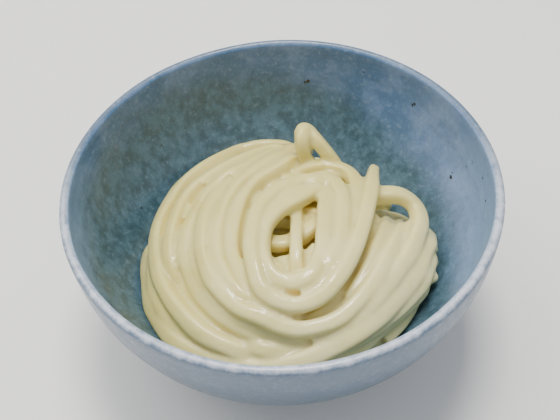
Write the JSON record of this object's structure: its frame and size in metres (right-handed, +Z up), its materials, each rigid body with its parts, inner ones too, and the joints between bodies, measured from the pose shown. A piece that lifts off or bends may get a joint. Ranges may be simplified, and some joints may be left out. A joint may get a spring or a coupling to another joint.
{
  "type": "udon noodle bowl",
  "caption": "Deep round footed stoneware bowl with a blue glaze, holding a wound nest of thick white wheat noodles.",
  "frame": {"origin": "middle of the foot ring's underside, on the table", "axes": "+Z up along the bowl's axis, the viewer's side of the picture at -Y, +X to its right"},
  "size_m": [0.15, 0.15, 0.075],
  "materials": {
    "glaze": "mottled celadon-blue semi-gloss glaze on stoneware with dark iron specks",
    "udon": "wet boiled wheat noodle, slightly translucent ivory"
  },
  "bodies": {
    "root": {"bowl": "glaze", "noodles": "udon"}
  },
  "joints": []
}
